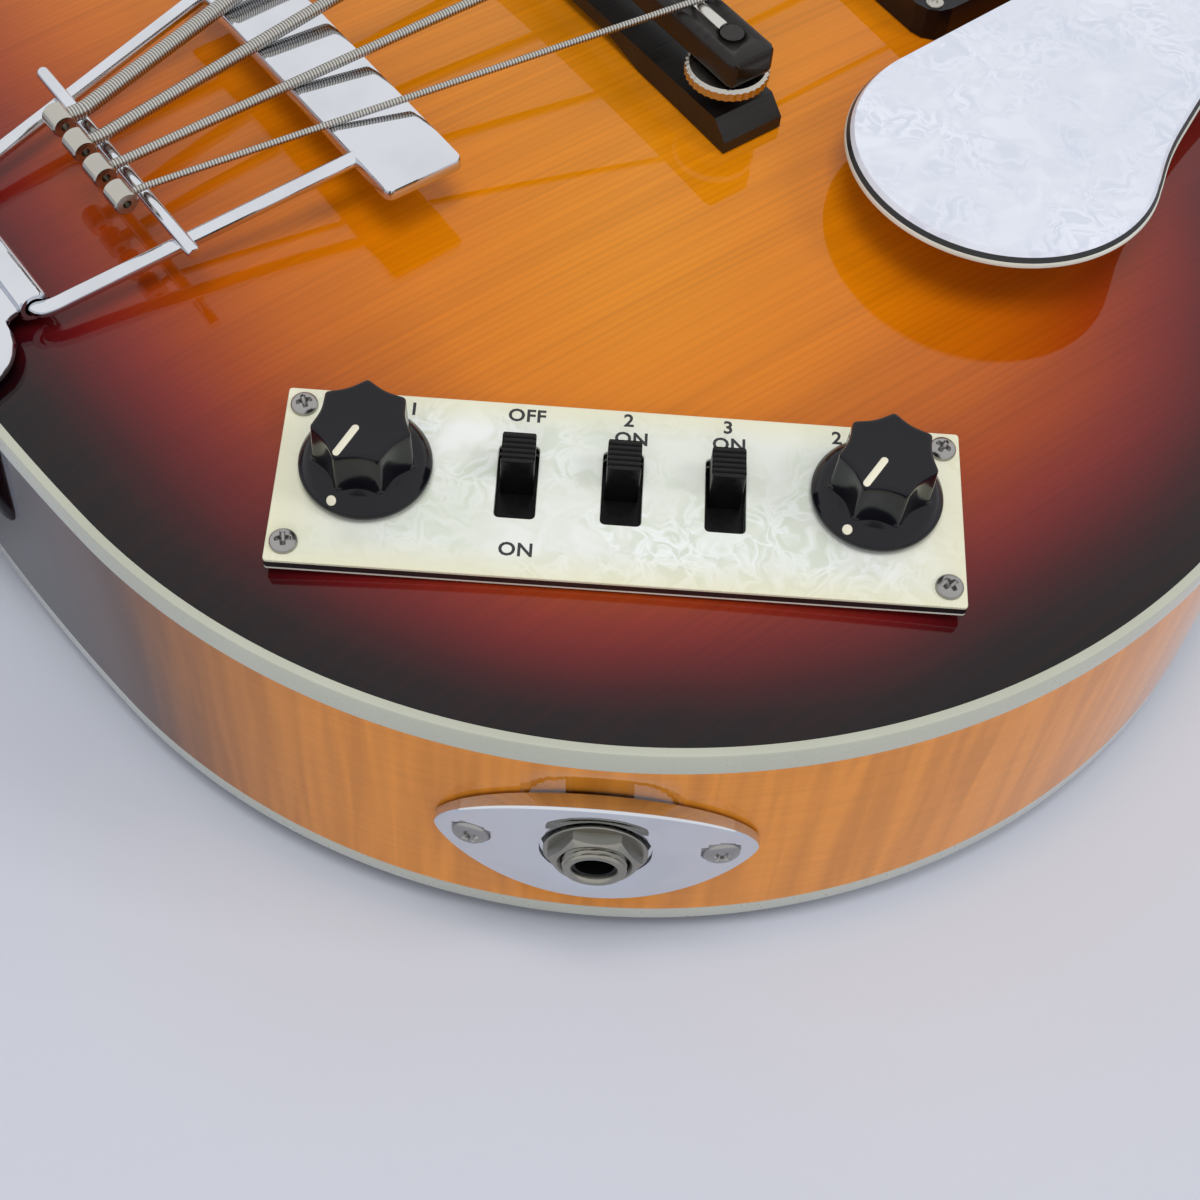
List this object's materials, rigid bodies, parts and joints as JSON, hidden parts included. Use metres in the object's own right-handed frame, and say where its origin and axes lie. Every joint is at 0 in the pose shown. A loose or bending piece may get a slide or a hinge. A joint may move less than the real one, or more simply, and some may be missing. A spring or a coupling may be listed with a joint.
{
  "type": "electric bass guitar",
  "caption": "Hollow short-scale electric bass with a violin-shaped arched body, control panel with slide switches, trapeze tailpiece, bolt-free glued neck and side-mounted jack.",
  "frame": {"origin": "on the flat middle of the back, straight below the centre of the bridge, with the instrument lying on its back", "axes": "+X to the treble side, +Y along the strings to the headstock, +Z out of the top"},
  "size_m": [0.2968, 1.0942, 0.0831],
  "materials": {
    "top_lacquer": "clear gloss lacquer over an amber sunburst that darkens to black-brown at the edge",
    "back_lacquer": "clear gloss lacquer over an amber sunburst on flamed maple",
    "rib_lacquer": "clear gloss lacquer over amber flamed maple",
    "binding": "cream with a green cast, lacquered",
    "neck_lacquer": "brown gloss lacquer over maple, head's face black",
    "rosewood": "bare, satin",
    "ebony": "bare, satin",
    "nut_ivory": "bone-coloured",
    "pearl_plastic": "three-ply, marbled pearl face, black core",
    "black_plastic": "polished",
    "chrome": "polished chrome plate",
    "nickel": "nickel plate, slightly dulled",
    "steel": "plain steel",
    "pot_steel": "zinc-plated steel can",
    "string_steel": "wound steel",
    "wire_cover": "black insulated lead"
  },
  "bodies": {
    "instrument": {"top_plate": "top_lacquer", "back_plate": "back_lacquer", "rib_assembly": "rib_lacquer", "top_binding": "binding", "back_binding": "binding", "neck": "neck_lacquer", "fretboard": "rosewood", "nut": "nut_ivory", "truss_rod": "steel", "truss_rod_cover": "pearl_plastic", "tuner_strip_bass": "nickel", "tuner_strip_treble": "nickel", "string_e": "string_steel", "string_a": "string_steel", "string_d": "string_steel", "string_g": "string_steel", "bridge_base": "ebony", "tailpiece_bracket": "chrome", "tailpiece_frame": "chrome", "tailpiece_crossbar": "chrome", "pickup_surround_bridge": "black_plastic", "pickup_surround_neck": "black_plastic", "pickup_bridge": "chrome", "pickup_neck": "chrome", "control_panel": "pearl_plastic", "potentiometer_1": "pot_steel", "potentiometer_2": "pot_steel", "switch_body_1": "steel", "switch_body_2": "steel", "switch_body_3": "steel", "jack_plate": "chrome", "jack_socket": "nickel", "jack_nut": "nickel", "pickguard": "pearl_plastic", "pickguard_bracket": "nickel", "strap_button_tail": "chrome", "strap_button_shoulder": "chrome", "panel_screw_1": "nickel", "panel_screw_2": "nickel", "panel_screw_3": "nickel", "panel_screw_4": "nickel", "jack_screw_1": "nickel", "jack_screw_2": "nickel", "wiring": "wire_cover"},
    "knob_1": {"knob_1": "black_plastic"},
    "knob_2": {"knob_2": "black_plastic"},
    "switch_lever_1": {"switch_lever_1": "black_plastic"},
    "switch_lever_2": {"switch_lever_2": "black_plastic"},
    "switch_lever_3": {"switch_lever_3": "black_plastic"},
    "tuner_key_1": {"tuner_key_1": "chrome"},
    "tuner_post_1": {"tuner_post_1": "chrome"},
    "tuner_key_2": {"tuner_key_2": "chrome"},
    "tuner_post_2": {"tuner_post_2": "chrome"},
    "tuner_key_3": {"tuner_key_3": "chrome"},
    "tuner_post_3": {"tuner_post_3": "chrome"},
    "tuner_key_4": {"tuner_key_4": "chrome"},
    "tuner_post_4": {"tuner_post_4": "chrome"},
    "saddle": {"bridge_saddle": "ebony"},
    "thumbwheel_bass": {"thumbwheel_bass": "nickel"},
    "thumbwheel_treble": {"thumbwheel_treble": "nickel"}
  },
  "joints": [
    {"name": "knob_1_turn", "type": "hinge", "parent": "instrument", "child": "knob_1", "pos_m": [0.06776, -0.0887, 0.06282], "axis": [-0.0581, 0.0474, -0.9972], "range_deg": [0, 300]},
    {"name": "knob_2_turn", "type": "hinge", "parent": "instrument", "child": "knob_2", "pos_m": [0.11323, -0.03184, 0.06287], "axis": [-0.0581, 0.0474, -0.9972], "range_deg": [0, 300]},
    {"name": "switch_1_slide", "type": "slide", "parent": "instrument", "child": "switch_lever_1", "axis": [0.7728, -0.6303, -0.075], "range_m": [0, 0.0052]},
    {"name": "switch_2_slide", "type": "slide", "parent": "instrument", "child": "switch_lever_2", "axis": [0.7728, -0.6303, -0.075], "range_m": [0, 0.0052]},
    {"name": "switch_3_slide", "type": "slide", "parent": "instrument", "child": "switch_lever_3", "axis": [0.7728, -0.6303, -0.075], "range_m": [0, 0.0052]},
    {"name": "tuner_key_1_turn", "type": "hinge", "parent": "instrument", "child": "tuner_key_1", "pos_m": [-0.019, 0.8157, 0.02334], "axis": [-1, 0, 0], "continuous": true},
    {"name": "tuner_post_1_turn", "type": "hinge", "parent": "instrument", "child": "tuner_post_1", "pos_m": [-0.019, 0.82859, 0.03971], "axis": [0, 0.13, 0.9915], "continuous": true},
    {"name": "tuner_key_2_turn", "type": "hinge", "parent": "instrument", "child": "tuner_key_2", "pos_m": [-0.019, 0.87519, 0.01554], "axis": [-1, 0, 0], "continuous": true},
    {"name": "tuner_post_2_turn", "type": "hinge", "parent": "instrument", "child": "tuner_post_2", "pos_m": [-0.019, 0.88808, 0.03191], "axis": [0, 0.13, 0.9915], "continuous": true},
    {"name": "tuner_key_3_turn", "type": "hinge", "parent": "instrument", "child": "tuner_key_3", "pos_m": [0.019, 0.87519, 0.01554], "axis": [1, 0, 0], "continuous": true},
    {"name": "tuner_post_3_turn", "type": "hinge", "parent": "instrument", "child": "tuner_post_3", "pos_m": [0.019, 0.88808, 0.03191], "axis": [0, 0.13, 0.9915], "continuous": true},
    {"name": "tuner_key_4_turn", "type": "hinge", "parent": "instrument", "child": "tuner_key_4", "pos_m": [0.019, 0.8157, 0.02334], "axis": [1, 0, 0], "continuous": true},
    {"name": "tuner_post_4_turn", "type": "hinge", "parent": "instrument", "child": "tuner_post_4", "pos_m": [0.019, 0.82859, 0.03971], "axis": [0, 0.13, 0.9915], "continuous": true},
    {"name": "saddle_height", "type": "slide", "parent": "instrument", "child": "saddle", "axis": [0, 0, 1], "range_m": [-0.0021, 0]},
    {"name": "thumbwheel_bass_turn", "type": "hinge", "parent": "saddle", "child": "thumbwheel_bass", "pos_m": [-0.038, 0, 0.0727], "axis": [0, 0, 1], "range_deg": [0, 1080]},
    {"name": "thumbwheel_treble_turn", "type": "hinge", "parent": "saddle", "child": "thumbwheel_treble", "pos_m": [0.038, 0, 0.0727], "axis": [0, 0, 1], "range_deg": [0, 1080]}
  ],
  "couplings": [
    {"joint": "tuner_post_1_turn", "follows": "tuner_key_1_turn", "ratio": 0.083333},
    {"joint": "tuner_post_2_turn", "follows": "tuner_key_2_turn", "ratio": 0.083333},
    {"joint": "tuner_post_3_turn", "follows": "tuner_key_3_turn", "ratio": 0.083333},
    {"joint": "tuner_post_4_turn", "follows": "tuner_key_4_turn", "ratio": 0.083333},
    {"joint": "thumbwheel_bass_turn", "follows": "saddle_height", "rad_per_m": -8976},
    {"joint": "thumbwheel_treble_turn", "follows": "saddle_height", "rad_per_m": -8976}
  ]
}
